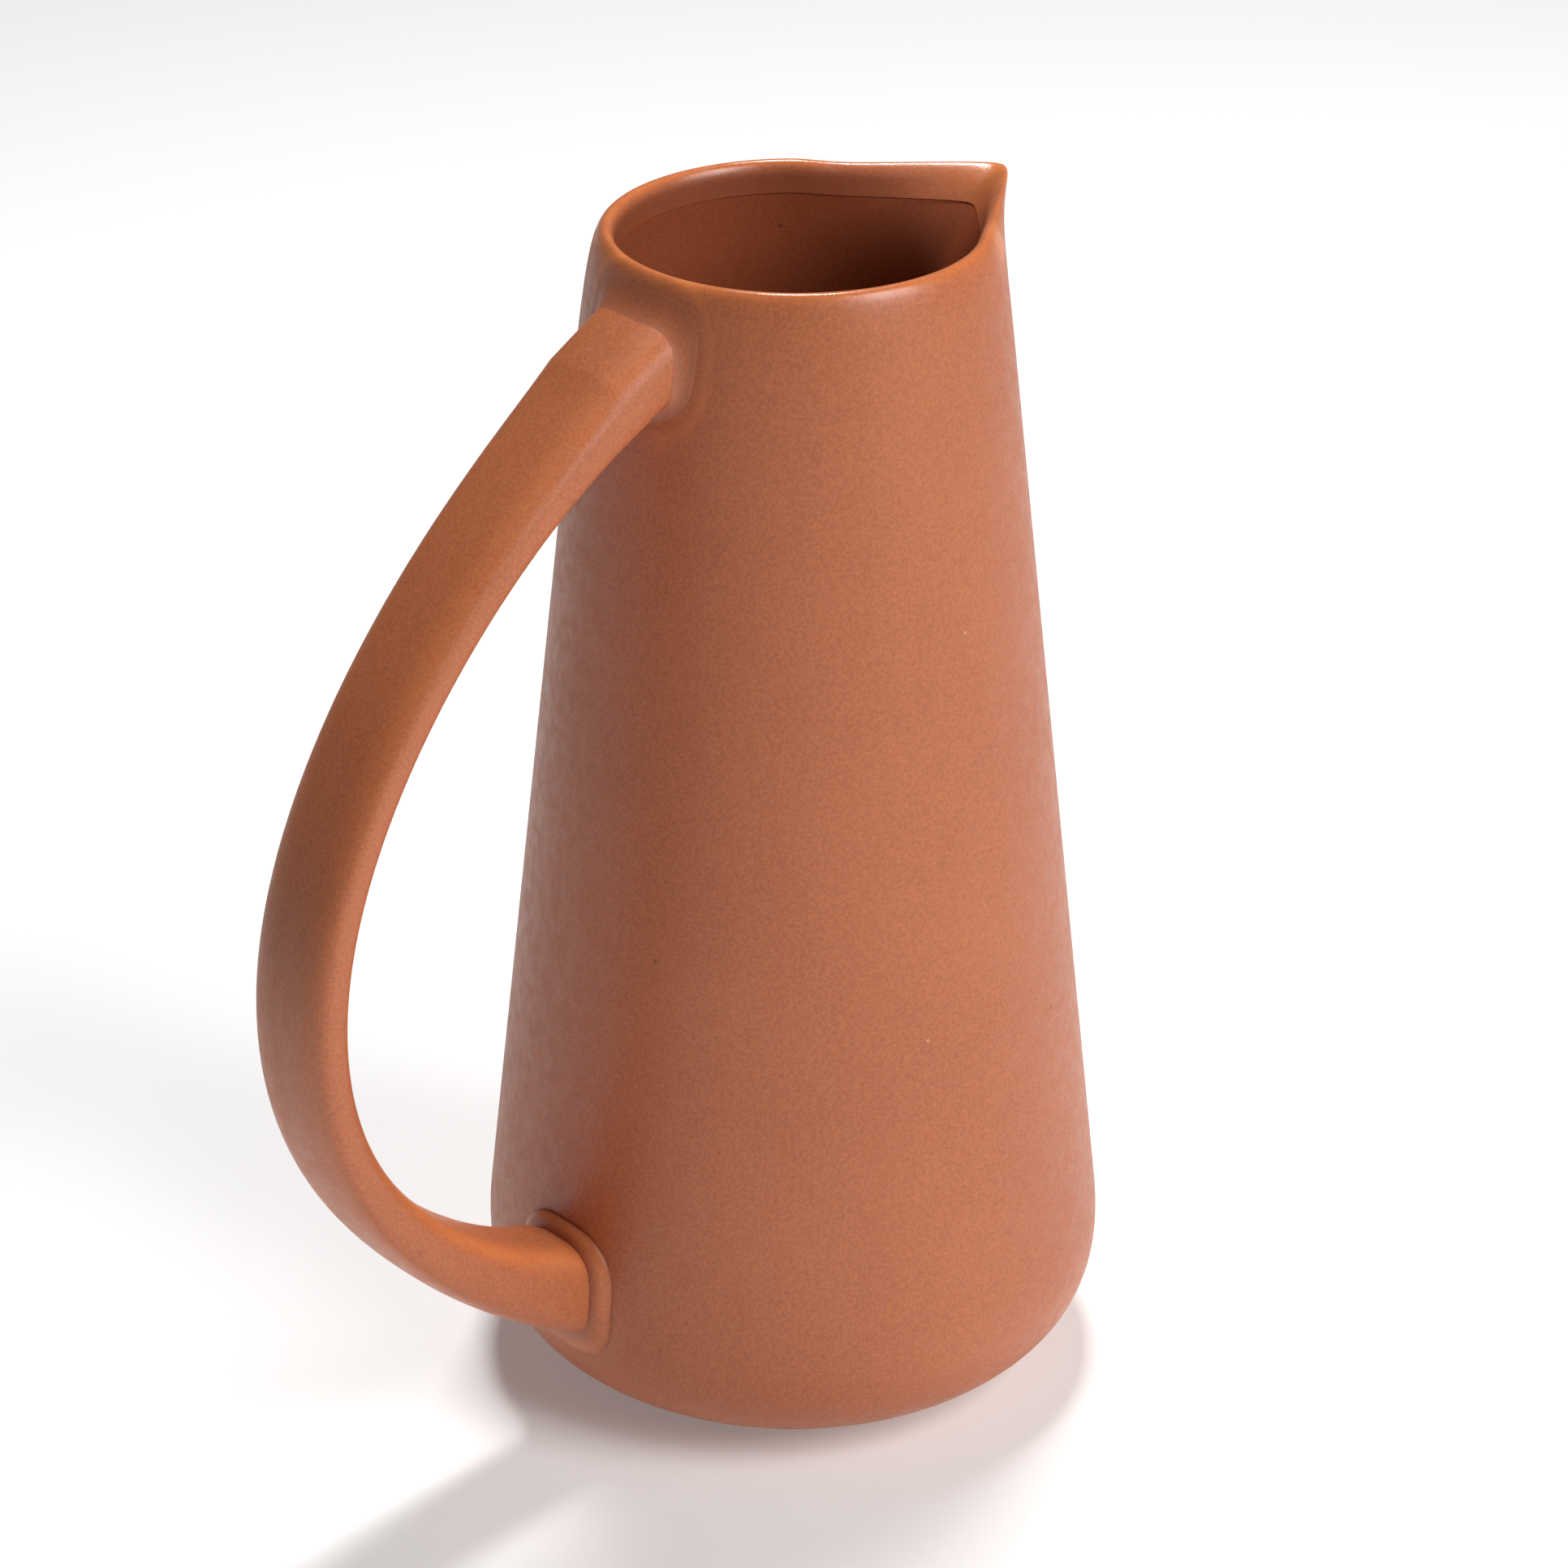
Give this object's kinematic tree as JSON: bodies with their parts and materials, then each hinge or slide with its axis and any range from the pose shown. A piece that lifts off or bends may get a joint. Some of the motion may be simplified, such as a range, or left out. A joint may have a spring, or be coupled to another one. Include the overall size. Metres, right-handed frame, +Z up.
{
  "type": "ceramic pitcher",
  "caption": "Tall tapered stoneware pitcher with a pinched pouring lip, a broad loop handle luted to the wall and a satin terracotta glaze.",
  "frame": {"origin": "centre of the foot ring, on the plane that the pitcher stands on", "axes": "+Z up along the body's axis, +X towards the pouring lip, -X towards the handle, +Y to the left of a person who looks along +X"},
  "size_m": [0.1949, 0.1284, 0.25],
  "materials": {
    "satin_glaze": "satin matt terracotta glaze over stoneware, fine speckle",
    "satin_glaze_handle": "the same satin glaze, breaking orange along the strap's edges",
    "satin_glaze_joints": "the same satin glaze pooled over the slip fillets",
    "liner_glaze": "glossier red-brown liner glaze",
    "bare_clay": "unglazed fired clay, matt"
  },
  "bodies": {
    "root": {"body": "satin_glaze", "foot_ring": "bare_clay", "inner_glaze": "liner_glaze", "handle": "satin_glaze_handle", "upper_joint": "satin_glaze_joints", "lower_joint": "satin_glaze_joints"}
  },
  "joints": []
}
